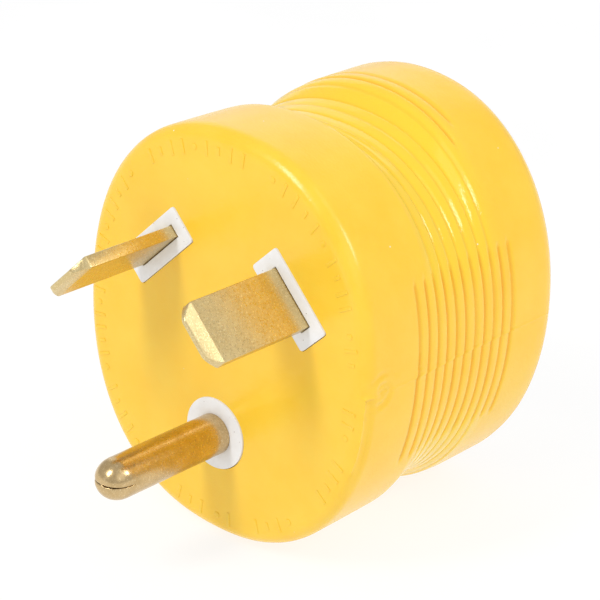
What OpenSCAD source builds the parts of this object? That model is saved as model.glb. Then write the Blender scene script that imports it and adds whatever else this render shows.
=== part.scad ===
// Moulded plug adapter: a waisted yellow body with a three-prong plug on its
// front face and a three-slot receptacle on its rear face.
// +Y runs from the plug face to the receptacle, +Z is up, +X is to the right
// of someone facing the prongs. The origin is the middle of the plug face.

/* [Body] */
// Length of the moulded body along Y
body_length = 46.7; // [44:0.1:56]
// Half height of the front puck
front_half_height = 32.1; // [31:0.1:34]
// Half height of the rear puck
rear_half_height = 32.7; // [31:0.1:34]
// Half width of the front puck between its flanks
front_half_width = 28; // [27:0.1:29]
// Half width of the rear puck between its flanks
rear_half_width = 27.6; // [27:0.1:29]
// Radius of the gently bowed flanks
flank_radius = 43; // [42:1:70]
// Edge radius round the plug face
front_round = 2.2; // [1:0.1:3]
// Edge radius round the receptacle face
rear_round = 4; // [2:0.1:5]

/* [Grip] */
// Where the waist starts behind the plug face
waist_start = 14.4; // [13:0.1:16]
// Where the waist ends behind the plug face
waist_end = 31.6; // [29:0.1:33]
// Depth of the waist below the front puck
waist_depth = 3.2; // [1:0.1:4]
// Number of grip grooves across each flank
groove_count = 11; // [5:1:12]
// First groove behind the plug face
groove_start = 11.7; // [11:0.1:13]
// Distance from one groove to the next
groove_pitch = 2.25; // [1.8:0.05:2.3]
// Width of a groove
groove_width = 0.7; // [0.4:0.1:1]
// Depth of a groove
groove_depth = 0.4; // [0.2:0.05:0.6]

/* [Plug] */
// Distance from the centre line to each blade
blade_x = 13; // [12:0.1:13.5]
// Height of the blades above the centre line
blade_z = 10.9; // [9.5:0.1:11]
// Turn of each blade from level
blade_turn = 45; // [40:1:50]
// Width of a blade
blade_width = 9.6; // [9:0.1:10]
// Thickness of a blade
blade_thickness = 1.9; // [1.5:0.1:2.1]
// How far a blade stands out of the plug face
blade_reach = 19.4; // [17:0.1:21]
// Distance of the ground pin below the centre line
pin_drop = 15.3; // [15:0.1:16]
// Diameter of the ground pin
pin_diameter = 6.35; // [6:0.01:6.5]
// How far the ground pin stands out of the plug face
pin_reach = 23.5; // [22:0.1:25]

/* [Collars] */
// Length of the white collar round a blade
collar_length = 14.2; // [12:0.1:15]
// Width of the white collar round a blade
collar_width = 6; // [5:0.1:7]
// Diameter of the white collar round the ground pin
collar_diameter = 11.3; // [10:0.1:12]
// How far the collars stand out of the plug face
collar_proud = 0.25; // [0.1:0.05:0.4]

/* [Receptacle] */
// Distance between the two blade slots
slot_spacing = 12.7; // [12.5:0.1:13]
// Height of the slots above the centre line
slot_z = 5; // [4:0.1:6]
// Distance from the slots down to the ground hole
ground_drop = 11.9; // [11.5:0.1:12.2]
// Width of a slot
slot_width = 2.2; // [2:0.1:2.4]
// Height of the hot slot
hot_slot_height = 7; // [6.8:0.1:7.4]
// Height of the neutral slot
neutral_slot_height = 8.8; // [8.4:0.1:9]
// Diameter of the ground hole
ground_hole = 5.6; // [5.2:0.1:5.8]
// How far the receptacle face lies behind the body's rear face
face_recess = 0.4; // [0.2:0.1:1]

/* [Core] */
// Diameter of the insulating core inside the body
core_diameter = 44; // [43.5:0.5:45]
// Diameter of the receptacle face in the rear opening
face_diameter = 38; // [36:0.5:40]
// Thickness of the body's wall behind the plug face
front_wall = 3; // [2.5:0.1:3.2]
// Gap round a part that sits in a pocket or a window
pocket_gap = 0.08; // [0.05:0.01:0.12]

/* [Conductors] */
// Thickness of the link straps
strap_thickness = 1; // [0.8:0.1:1.2]
// Width of the link straps
strap_width = 4.4; // [4:0.1:4.6]
// Thickness of the spring contacts
contact_thickness = 0.7; // [0.5:0.05:0.8]
// Shank diameter of the rivets
rivet_diameter = 2.2; // [1.8:0.1:2.4]
// Head diameter of the rivets
rivet_head = 3.8; // [3.4:0.1:4]
// Thread diameter of the screws that clamp the core
screw_diameter = 2.6; // [2.2:0.1:3]
// Head diameter of those screws
screw_head = 4.8; // [4.2:0.1:5]

/* [Hidden] */
$fn = 96;
eps = 0.01;
// How far a cut runs past the faces it opens.
over = 1;
arc_steps = 6;

// The hot side is at -X and the neutral side at +X, at both ends of the adapter.
hot = -1;
neutral = 1;

pin_r = pin_diameter / 2;
core_r = core_diameter / 2;
face_r = face_diameter / 2;
slot_x = slot_spacing / 2;
ground_z = slot_z - ground_drop;

// The core's layers, from the plug face to the receptacle.
plug_core_depth = 6;
layer_feet = front_wall + plug_core_depth;
foot_thickness = 1.2;
layer_straps = layer_feet + foot_thickness;
layer_tabs = layer_straps + strap_thickness;
chamber_depth = 5;
layer_barrier = layer_feet + chamber_depth;
barrier_thickness = 2;
layer_base = layer_barrier + barrier_thickness;
base_floor = 5;
layer_webs = layer_base + base_floor;
flange_thickness = 3;
rear_lip = 5.7;
layer_lip = body_length - rear_lip;
layer_face = layer_lip - flange_thickness;
face_y = body_length - face_recess;

// The stud of a prong inside the core is a little thinner than what shows.
stud_r = 2.8;
stud_end = layer_straps;

// Rivets through the blade feet and through the contact tabs.
foot_rivet_reach = 4.2;
foot_margin = 0.4;
foot_rivet_x = blade_x - foot_rivet_reach * cos(blade_turn);
foot_rivet_z = blade_z - foot_rivet_reach * sin(blade_turn);
tab_rivet_x = 6.8;
tab_rivet_z = -2.6;
ground_tab_rivet_z = 1.2;
rivet_head_height = 0.9;
stud_rivet_depth = 4;
rivet_r = rivet_diameter / 2;

// Spring contacts.
contact_height = 7;
contact_gap = 0.5;
contact_mouth = 3.5;
contact_end = layer_face - contact_gap;
contact_pinch = contact_end - contact_mouth;
blade_contact_root = 1.3;
blade_contact_pinch = 0.6;
ground_contact_root = 2.8;
ground_contact_pinch = 2.2;
tail_width = 4;
tail_offset = contact_height / 2 - contact_thickness;

// Chambers that hold the contacts.
chamber_side = 1;
blade_chamber_half = blade_contact_root + contact_thickness + chamber_side;
ground_chamber_half = ground_contact_root + contact_thickness + chamber_side;
chamber_half_height = contact_height / 2 + chamber_side;

// Screws that clamp the core's layers together.
screw_places = [[17.6, -5.5], [-17.6, -5.5], [0, 18.4]];
screw_head_height = 1.6;
screw_bite = 12;
screw_end = layer_base + screw_bite;

// Ribs that part the live straps from the ground strap.
rib_x = 3.4;
rib_thickness = 1;
rib_height = 12;

groove_last_in_waist = groove_count - 3;

// ---------- helpers ----------

// Extrudes a shape drawn in X and Z along Y, from y0 to y1.
module along_y(y0, y1) {
    translate([0, y1, 0])
        rotate([90, 0, 0])
            linear_extrude(y1 - y0)
                children();
}

// Spins a shape drawn as radius and Y about the Y axis.
module about_y() {
    rotate([-90, 0, 0])
        rotate_extrude()
            children();
}

// A round bar along Y.
module bar_y(r, y0, y1, x = 0, z = 0) {
    translate([x, y0, z])
        rotate([-90, 0, 0])
            cylinder(r = r, h = y1 - y0);
}

// A strap with round ends that lies flat between two points given as X and Z.
module flat_strap(a, b, width, y0, y1) {
    length = norm(b - a);
    along_y(y0, y1) {
        translate(a)
            rotate(atan2(b[1] - a[1], b[0] - a[0]))
                translate([0, -width / 2])
                    square([length, width]);
        translate(a) circle(d = width);
        translate(b) circle(d = width);
    }
}

// Turns children to lie along the blade on one side, about the blade's middle.
module at_blade(side) {
    translate([side * blade_x, 0, blade_z])
        rotate([0, side * blade_turn, 0])
            children();
}

// Points of a quarter arc about a centre, from one angle to another.
function arc(cx, cy, r, from, to) = [
    for (i = [0 : arc_steps])
        let (a = from + (to - from) * i / arc_steps)
            [cx + r * cos(a), cy + r * sin(a)]
];

// ---------- body ----------

// Outline of a puck pair as radius against Y, with its two edges rounded.
module body_profile(front_r, rear_r) {
    polygon(concat(
        [[0, 0]],
        arc(front_r - front_round, front_round, front_round, -90, 0),
        [[front_r, waist_start], [rear_r, waist_end]],
        arc(rear_r - rear_round, body_length - rear_round, rear_round, 0, 90),
        [[0, body_length]]
    ));
}

function groove_y(i) = groove_start + i * groove_pitch;

// The waist is a round-bottomed hollow between the two pucks.
waist_middle = (waist_start + waist_end) / 2;
waist_chord = (waist_end - waist_start) / 2;
waist_sweep = (waist_chord * waist_chord + waist_depth * waist_depth) / (2 * waist_depth);
waist_centre = front_half_height - waist_depth + waist_sweep;

function waist_radius(y) = waist_centre - sqrt(waist_sweep ^ 2 - (y - waist_middle) ^ 2);

module round_profile() {
    difference() {
        body_profile(front_half_height, rear_half_height);
        translate([waist_centre, waist_middle]) circle(r = waist_sweep);
        for (i = [2 : groove_last_in_waist])
            translate([waist_radius(groove_y(i)) - groove_depth, groove_y(i) - groove_width / 2])
                square([waist_depth, groove_width]);
    }
}

module flank_profile() {
    offset_x = flank_radius - front_half_width;
    difference() {
        body_profile(flank_radius, rear_half_width + offset_x);
        for (i = [0 : groove_count - 1])
            translate([flank_radius - groove_depth, groove_y(i) - groove_width / 2])
                square([2 * groove_depth, groove_width]);
    }
}

// One bowed flank, as a large round form about an axis beyond the other flank.
module flank_form(side) {
    translate([side * (front_half_width - flank_radius), 0, 0])
        about_y() flank_profile();
}

// The body outline is a round form between two bowed flanks.
module body_form() {
    intersection() {
        about_y() round_profile();
        flank_form(-1);
        flank_form(1);
    }
}

module jacket() {
    color("gold")
        difference() {
            body_form();
            bar_y(core_r, front_wall, layer_lip);
            bar_y(face_r + pocket_gap, layer_lip - eps, body_length + over);
            for (side = [hot, neutral])
                at_blade(side)
                    translate([-collar_length / 2 - pocket_gap, -over, -collar_width / 2 - pocket_gap])
                        cube([
                            collar_length + 2 * pocket_gap,
                            front_wall + over + eps,
                            collar_width + 2 * pocket_gap
                        ]);
            bar_y(collar_diameter / 2 + pocket_gap, -over, front_wall + eps, 0, -pin_drop);
        }
}

// ---------- insulating core ----------

module screw_holes(y0, y1) {
    for (p = screw_places)
        bar_y(screw_diameter / 2 + pocket_gap, y0, y1, p[0], p[1]);
}

module plug_core() {
    color("whitesmoke")
        difference() {
            union() {
                bar_y(core_r, front_wall, layer_feet);
                for (side = [hot, neutral])
                    at_blade(side)
                        translate([-collar_length / 2, -collar_proud, -collar_width / 2])
                            cube([collar_length, front_wall + collar_proud + eps, collar_width]);
                bar_y(collar_diameter / 2, -collar_proud, front_wall + eps, 0, -pin_drop);
            }
            for (side = [hot, neutral])
                at_blade(side)
                    translate([-blade_width / 2 - pocket_gap, -over, -blade_thickness / 2 - pocket_gap])
                        cube([
                            blade_width + 2 * pocket_gap,
                            layer_feet + 2 * over,
                            blade_thickness + 2 * pocket_gap
                        ]);
            bar_y(stud_r + pocket_gap, -over, layer_feet + over, 0, -pin_drop);
            for (side = [hot, neutral])
                bar_y(
                    rivet_head / 2 + pocket_gap,
                    layer_feet - rivet_head_height - pocket_gap,
                    layer_feet + over,
                    side * foot_rivet_x,
                    foot_rivet_z
                );
            screw_holes(front_wall - over, layer_feet + over);
            for (p = screw_places)
                bar_y(
                    screw_head / 2 + pocket_gap,
                    front_wall - over,
                    front_wall + screw_head_height + pocket_gap,
                    p[0],
                    p[1]
                );
        }
}

// Slots through which the contact tails reach the straps.
module tail_slots(y0, y1) {
    slot_w = tail_width + 2 * pocket_gap;
    slot_t = contact_thickness + 2 * pocket_gap;
    for (side = [hot, neutral])
        translate([side * slot_x - slot_w / 2, y0, slot_z - tail_offset - slot_t + pocket_gap])
            cube([slot_w, y1 - y0, slot_t]);
    translate([-slot_w / 2, y0, ground_z + tail_offset - pocket_gap])
        cube([slot_w, y1 - y0, slot_t]);
}

module mid_barrier() {
    skirt = 2;
    post_wall = 1.2;
    color("ivory")
        difference() {
            union() {
                difference() {
                    bar_y(core_r, layer_feet, layer_base);
                    bar_y(core_r - skirt, layer_feet - over, layer_barrier);
                }
                for (side = [-1, 1])
                    translate([side * rib_x - rib_thickness / 2, layer_feet, -rib_height / 2])
                        cube([rib_thickness, chamber_depth + eps, rib_height]);
                for (p = screw_places)
                    bar_y(screw_diameter / 2 + post_wall, layer_feet, layer_barrier + eps, p[0], p[1]);
            }
            tail_slots(layer_barrier - over, layer_base + over);
            screw_holes(layer_feet - over, layer_base + over);
        }
}

// A pocket for one contact, open towards the receptacle face.
module contact_chamber(x, z, half_width) {
    translate([x - half_width, layer_webs, z - chamber_half_height])
        cube([2 * half_width, layer_face - layer_webs + over, 2 * chamber_half_height]);
}

module receptacle_base() {
    color("whitesmoke")
        difference() {
            bar_y(core_r, layer_base, layer_face);
            contact_chamber(hot * slot_x, slot_z, blade_chamber_half);
            contact_chamber(neutral * slot_x, slot_z, blade_chamber_half);
            contact_chamber(0, ground_z, ground_chamber_half);
            tail_slots(layer_base - over, layer_webs + over);
            screw_holes(layer_base - over, screw_end + pocket_gap);
        }
}

module blade_slot(x, height) {
    translate([x - slot_width / 2, layer_face - over, slot_z - height / 2])
        cube([slot_width, body_length, height]);
}

module receptacle_face() {
    color("whitesmoke")
        difference() {
            union() {
                bar_y(core_r, layer_face, layer_lip);
                bar_y(face_r, layer_lip - eps, face_y);
            }
            blade_slot(hot * slot_x, hot_slot_height);
            blade_slot(neutral * slot_x, neutral_slot_height);
            bar_y(ground_hole / 2, layer_face - over, body_length + over, 0, ground_z);
        }
}

// ---------- prongs ----------

// One flat blade with a bevelled tip, and a foot bent flat behind the core.
module blade(side) {
    corner = 2.2;
    bevel_length = 1.8;
    bevel_depth = 0.55;
    half_w = blade_width / 2;
    half_t = blade_thickness / 2;
    foot_length = foot_rivet_reach + rivet_head / 2 + foot_margin;
    foot_inset = 1.5;
    at_blade(side)
        intersection() {
            translate([0, 0, -half_t - over])
                linear_extrude(blade_thickness + 2 * over)
                    polygon([
                        [-half_w, layer_straps],
                        [-half_w, corner - blade_reach],
                        [corner - half_w, -blade_reach],
                        [half_w - corner, -blade_reach],
                        [half_w, corner - blade_reach],
                        [half_w, layer_straps]
                    ]);
            translate([-half_w - over, 0, 0])
                rotate([90, 0, 90])
                    linear_extrude(blade_width + 2 * over)
                        polygon([
                            [layer_straps, half_t],
                            [bevel_length - blade_reach, half_t],
                            [-blade_reach, half_t - bevel_depth],
                            [-blade_reach, bevel_depth - half_t],
                            [bevel_length - blade_reach, -half_t],
                            [layer_straps, -half_t]
                        ]);
        }
    difference() {
        at_blade(side)
            translate([foot_inset - half_w, layer_feet + pocket_gap, -foot_length])
                cube([blade_width - 2 * foot_inset, foot_thickness - pocket_gap, foot_length]);
        bar_y(rivet_r, layer_feet - over, layer_straps + over, side * foot_rivet_x, foot_rivet_z);
    }
}

module hot_blade() {
    color("goldenrod") blade(hot);
}

module neutral_blade() {
    color("goldenrod") blade(neutral);
}

module ground_pin() {
    dome = 3.4;
    tip_flat = 0.5;
    color("goldenrod")
        translate([0, 0, -pin_drop])
            difference() {
                about_y()
                    polygon(concat(
                        [[0, -pin_reach], [tip_flat, -pin_reach]],
                        [for (i = [1 : arc_steps])
                            let (a = 90 * i / arc_steps)
                                [
                                    tip_flat + (pin_r - tip_flat) * sin(a),
                                    dome * (1 - cos(a)) - pin_reach
                                ]
                        ],
                        [
                            [pin_r, -collar_proud],
                            [stud_r, -collar_proud],
                            [stud_r, stud_end],
                            [0, stud_end]
                        ]
                    ));
                bar_y(rivet_r, stud_end - stud_rivet_depth, stud_end + over);
            }
}

// ---------- conductors ----------

module blade_link(side) {
    from = [side * foot_rivet_x, foot_rivet_z];
    to = [side * tab_rivet_x, tab_rivet_z];
    color("peru")
        difference() {
            flat_strap(from, to, strap_width, layer_straps, layer_tabs);
            bar_y(rivet_r, layer_straps - over, layer_tabs + over, from[0], from[1]);
            bar_y(rivet_r, layer_straps - over, layer_tabs + over, to[0], to[1]);
        }
}

module hot_link() {
    blade_link(hot);
}

module neutral_link() {
    blade_link(neutral);
}

module ground_link() {
    from = [0, -pin_drop];
    to = [0, ground_tab_rivet_z];
    color("peru")
        difference() {
            flat_strap(from, to, strap_width, layer_straps, layer_tabs);
            bar_y(rivet_r, layer_straps - over, layer_tabs + over, from[0], from[1]);
            bar_y(rivet_r, layer_straps - over, layer_tabs + over, to[0], to[1]);
        }
}

// Two facing spring leaves on a web, with a tail through the floor and a tab
// that is bent flat against the strap. grow is +1 where the tab points up.
module contact(x, z, root, pinch, rivet_x, rivet_z, grow) {
    web_y = layer_webs;
    t = contact_thickness;
    tab_far = rivet_z + grow * strap_width / 2;
    tail_near = z + grow * tail_offset;
    tail_far = tail_near + grow * t;
    tab_low = min(tail_near, tab_far);
    tab_high = max(tail_near, tab_far);
    color("darkkhaki")
        difference() {
            union() {
                for (side = [-1, 1])
                    translate([x, 0, z - contact_height / 2])
                        linear_extrude(contact_height)
                            polygon([
                                [side * root, web_y],
                                [side * (root + t), web_y],
                                [side * (pinch + t), contact_pinch],
                                [side * (root + t), contact_end],
                                [side * root, contact_end],
                                [side * pinch, contact_pinch]
                            ]);
                translate([x - root - eps, web_y, z - contact_height / 2])
                    cube([2 * root + 2 * eps, t, contact_height]);
                translate([x - tail_width / 2, layer_tabs, min(tail_near, tail_far)])
                    cube([tail_width, web_y + t - layer_tabs, t]);
                translate([rivet_x - strap_width / 2, layer_tabs, tab_low])
                    cube([strap_width, t, tab_high - tab_low]);
            }
            bar_y(rivet_r, layer_tabs - over, layer_tabs + 2 * over, rivet_x, rivet_z);
        }
}

module hot_contact() {
    contact(hot * slot_x, slot_z, blade_contact_root, blade_contact_pinch,
        hot * tab_rivet_x, tab_rivet_z, -1);
}

module neutral_contact() {
    contact(neutral * slot_x, slot_z, blade_contact_root, blade_contact_pinch,
        neutral * tab_rivet_x, tab_rivet_z, -1);
}

module ground_contact() {
    contact(0, ground_z, ground_contact_root, ground_contact_pinch,
        0, ground_tab_rivet_z, 1);
}

// A rivet whose shank runs from y0 to y1, with a head outside each end.
module rivet(x, z, y0, y1) {
    color("silver") {
        bar_y(rivet_r, y0, y1, x, z);
        bar_y(rivet_head / 2, y0 - rivet_head_height, y0, x, z);
        bar_y(rivet_head / 2, y1, y1 + rivet_head_height, x, z);
    }
}

module hot_prong_rivet() {
    rivet(hot * foot_rivet_x, foot_rivet_z, layer_feet, layer_tabs);
}

module neutral_prong_rivet() {
    rivet(neutral * foot_rivet_x, foot_rivet_z, layer_feet, layer_tabs);
}

// The ground pin's rivet is driven into the end of its stud.
module ground_prong_rivet() {
    color("silver") {
        bar_y(rivet_r, stud_end - stud_rivet_depth, layer_tabs, 0, -pin_drop);
        bar_y(rivet_head / 2, layer_tabs, layer_tabs + rivet_head_height, 0, -pin_drop);
    }
}

// The contact rivets clamp a strap to a contact's tab.
module tab_rivet(x, z) {
    rivet(x, z, layer_straps, layer_tabs + contact_thickness);
}

module hot_contact_rivet() {
    tab_rivet(hot * tab_rivet_x, tab_rivet_z);
}

module neutral_contact_rivet() {
    tab_rivet(neutral * tab_rivet_x, tab_rivet_z);
}

module ground_contact_rivet() {
    tab_rivet(0, ground_tab_rivet_z);
}

// Three screws run from the plug core through the barrier into the base.
module core_screws() {
    color("silver")
        for (p = screw_places) {
            bar_y(screw_head / 2, front_wall, front_wall + screw_head_height, p[0], p[1]);
            bar_y(screw_diameter / 2, front_wall + screw_head_height, screw_end, p[0], p[1]);
        }
}

// ---------- assembly ----------

jacket();
plug_core();
mid_barrier();
receptacle_base();
receptacle_face();
hot_blade();
neutral_blade();
ground_pin();
hot_link();
neutral_link();
ground_link();
hot_contact();
neutral_contact();
ground_contact();
hot_prong_rivet();
neutral_prong_rivet();
ground_prong_rivet();
hot_contact_rivet();
neutral_contact_rivet();
ground_contact_rivet();
core_screws();
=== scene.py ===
"""Looks of a moulded power adapter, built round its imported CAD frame.

Sizes are millimetres in the classes and metres in Blender. +Y runs from the plug
face to the receptacle, +Z is up, and the origin is the middle of the plug face.
"""

import logging
import math
from collections.abc import Callable, Iterator, Sequence
from contextlib import contextmanager
from dataclasses import dataclass, field
from enum import Enum
from typing import ClassVar

import bmesh
import bpy
import numpy as np
from mathutils import Matrix, Vector


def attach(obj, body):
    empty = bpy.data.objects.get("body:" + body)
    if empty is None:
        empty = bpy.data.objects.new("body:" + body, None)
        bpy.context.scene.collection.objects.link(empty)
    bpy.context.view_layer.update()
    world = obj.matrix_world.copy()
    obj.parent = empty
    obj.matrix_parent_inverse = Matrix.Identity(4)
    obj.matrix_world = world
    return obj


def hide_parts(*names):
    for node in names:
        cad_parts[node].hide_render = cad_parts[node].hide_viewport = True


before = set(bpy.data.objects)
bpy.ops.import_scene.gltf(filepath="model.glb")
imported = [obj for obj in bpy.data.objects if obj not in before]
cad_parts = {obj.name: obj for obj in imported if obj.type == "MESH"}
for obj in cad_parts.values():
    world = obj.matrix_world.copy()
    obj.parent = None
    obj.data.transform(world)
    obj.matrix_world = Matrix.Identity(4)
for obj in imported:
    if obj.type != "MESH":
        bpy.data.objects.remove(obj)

MM = 0.001
NEAR = 1e-6
ROOT = "root"
# Vertex marks for the materials: the groove share paints shade, the waist share paints bounce light and
# sets gloss, the slit share paints shade.
GROOVE_SHADE = "groove"
WAIST_BOUNCE_AND_GLOSS = "waist"
SLIT_SHADE = "slit"
LOG = logging.getLogger("adapter")


class Side(Enum):
    """Which side of the adapter a current-carrying blade stands on."""

    HOT = -1
    NEUTRAL = 1


class Slot(Enum):
    """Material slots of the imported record."""

    MOULDING = "yellow_moulding"
    INSULATOR = "white_insulator"
    BRASS = "prong_brass"
    COPPER = "strap_copper"
    BRONZE = "contact_bronze"
    STEEL = "plated_steel"


# ---------------------------------------------------------------- bench tools


def put_down_all() -> None:
    """Deselects every object."""
    bpy.ops.object.select_all(action="DESELECT")


def take(piece: bpy.types.Object) -> None:
    """Selects one piece alone and makes it active.

    Args:
        piece: the piece to take up.
    """
    put_down_all()
    piece.select_set(True)
    bpy.context.view_layer.objects.active = piece


@contextmanager
def editing(piece: bpy.types.Object, mode: str = "FACE") -> Iterator[bmesh.types.BMesh]:
    """Opens a piece in edit mode with nothing selected.

    Args:
        piece: the piece to edit.
        mode: VERT, EDGE or FACE.

    Returns:
        The piece's edit mesh, good until its shape changes.
    """
    take(piece)
    bpy.ops.object.mode_set(mode="EDIT")
    bpy.ops.mesh.select_mode(type=mode)
    bpy.ops.mesh.select_all(action="DESELECT")
    try:
        yield bmesh.from_edit_mesh(piece.data)
    finally:
        bpy.ops.object.mode_set(mode="OBJECT")


def pick(piece: bpy.types.Object, kind: str, test: Callable) -> None:
    """Selects the vertices, edges or faces of a piece in edit mode that pass a test.

    Args:
        piece: the piece in edit mode.
        kind: verts, edges or faces.
        test: takes one element and says if it is wanted.
    """
    bpy.ops.mesh.select_all(action="DESELECT")
    shape = bmesh.from_edit_mesh(piece.data)
    for element in [e for e in getattr(shape, kind) if test(e)]:
        element.select_set(True)
    shape.select_flush_mode()
    bmesh.update_edit_mesh(piece.data)


def points_of(piece: bpy.types.Object) -> np.ndarray:
    """A piece's vertices in millimetres, one row each."""
    rows = np.zeros(len(piece.data.vertices) * 3, np.float64)
    piece.data.vertices.foreach_get("co", rows)
    return rows.reshape(-1, 3) / MM


def set_points(piece: bpy.types.Object, rows: np.ndarray) -> None:
    """Moves a piece's vertices.

    Args:
        piece: the piece to shape.
        rows: the new places in millimetres, one row for each vertex.
    """
    piece.data.vertices.foreach_set("co", (rows * MM).ravel())
    piece.data.update()


def write_mark(piece: bpy.types.Object, name: str, values: np.ndarray) -> None:
    """Stores a number on each vertex of a piece for its material.

    Args:
        piece: the piece.
        name: what the numbers are called.
        values: one number for each vertex.
    """
    layer = piece.data.attributes.new(name, "FLOAT", "POINT")
    layer.data.foreach_set("value", values)


def settle(piece: bpy.types.Object) -> None:
    """Moves a piece's place, turn and size into its mesh."""
    take(piece)
    bpy.ops.object.transform_apply(location=True, rotation=True, scale=True)


def modify(piece: bpy.types.Object, kind: str, **settings: object) -> None:
    """Adds a modifier to a piece and applies it.

    Args:
        piece: the piece to change.
        kind: the modifier's type.
        settings: the modifier's own settings.
    """
    take(piece)
    modifier = piece.modifiers.new(kind.title(), kind)
    for name, value in settings.items():
        setattr(modifier, name, value)
    bpy.ops.object.modifier_apply(modifier=modifier.name)


def combine(piece: bpy.types.Object, tool: bpy.types.Object, operation: str) -> None:
    """Cuts or adds one solid to another and removes the tool.

    Args:
        piece: the solid that is kept.
        tool: the solid that is used up.
        operation: DIFFERENCE or UNION.
    """
    modify(piece, "BOOLEAN", object=tool, operation=operation, solver="EXACT")
    bpy.data.objects.remove(tool, do_unlink=True)


def join(pieces: Sequence[bpy.types.Object]) -> bpy.types.Object:
    """Joins pieces into the first of them.

    Args:
        pieces: the pieces to join.

    Returns:
        The joined piece.
    """
    put_down_all()
    for piece in pieces:
        piece.select_set(True)
    bpy.context.view_layer.objects.active = pieces[0]
    bpy.ops.object.join()
    return pieces[0]


def box(size: Sequence[float], centre: Sequence[float]) -> bpy.types.Object:
    """A block.

    Args:
        size: its three sizes in millimetres.
        centre: its centre in millimetres.

    Returns:
        The block, settled.
    """
    bpy.ops.mesh.primitive_cube_add(size=MM, location=Vector(centre) * MM)
    piece = bpy.context.object
    piece.scale = Vector(size)
    settle(piece)
    return piece


def bar(radius: float, y0: float, y1: float, x: float = 0.0, z: float = 0.0,
        steps: int = 96) -> bpy.types.Object:
    """A round bar along Y.

    Args:
        radius: its radius in millimetres.
        y0: where it starts.
        y1: where it ends.
        x: its axis's X.
        z: its axis's Z.
        steps: how many sides it has.

    Returns:
        The bar, settled.
    """
    bpy.ops.mesh.primitive_cylinder_add(
        vertices=steps, radius=radius * MM, depth=(y1 - y0) * MM,
        location=Vector((x, (y0 + y1) / 2, z)) * MM, rotation=(math.pi / 2, 0, 0))
    piece = bpy.context.object
    settle(piece)
    return piece


def tidy_shell(piece: bpy.types.Object, merge: float = 0.001) -> None:
    """Merges a closed shell's doubles and turns its faces outwards.

    Args:
        piece: the shell.
        merge: the merging distance in millimetres.
    """
    with editing(piece, "VERT"):
        bpy.ops.mesh.select_all(action="SELECT")
        bpy.ops.mesh.remove_doubles(threshold=merge * MM)
        bpy.ops.mesh.normals_make_consistent(inside=False)


def smooth(piece: bpy.types.Object, degrees: float) -> None:
    """Shades a piece smooth where its faces meet at less than an angle.

    Args:
        piece: the piece.
        degrees: that angle.
    """
    take(piece)
    bpy.ops.object.shade_smooth_by_angle(angle=math.radians(degrees))


def round_edges(piece: bpy.types.Object, width: float, degrees: float = 30.0,
                steps: int = 3) -> None:
    """Rounds a piece's sharp edges.

    Args:
        piece: the piece.
        width: the rounding's width in millimetres.
        degrees: edges sharper than this are rounded.
        steps: how many faces the rounding has.
    """
    modify(piece, "BEVEL", width=width * MM, segments=steps, limit_method="ANGLE",
           angle_limit=math.radians(degrees), harden_normals=False)


def finish_piece(piece: bpy.types.Object, name: str, nodes: Sequence[str],
                 finish: bpy.types.Material) -> bpy.types.Object:
    """Names a piece, dresses it and fastens it to the frame.

    Args:
        piece: the finished piece.
        name: its name.
        nodes: the CAD nodes that it stands for.
        finish: its material.

    Returns:
        The piece.
    """
    piece.name = name
    piece.data.name = name
    piece.data.materials.clear()
    piece.data.materials.append(finish)
    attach(piece, ROOT)
    if nodes:
        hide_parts(*nodes)
    return piece


def report(piece: bpy.types.Object) -> None:
    """Logs a piece's name and face count."""
    LOG.info("%s: %d faces", piece.name, len(piece.data.polygons))


class Piece:
    """A part of the adapter that is built as one piece with one finish."""

    name: ClassVar[str]
    slot: ClassVar[Slot]
    nodes: ClassVar[tuple] = ()

    def build(self) -> bpy.types.Object:
        """Models the piece."""
        raise NotImplementedError

    def dress(self, finish: bpy.types.Material) -> bpy.types.Object:
        """Builds the piece and gives it its finish.

        Args:
            finish: its material.

        Returns:
            The finished piece.
        """
        return finish_piece(self.build(), self.name, self.nodes, finish)


# ------------------------------------------------------------------- finishes


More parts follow.
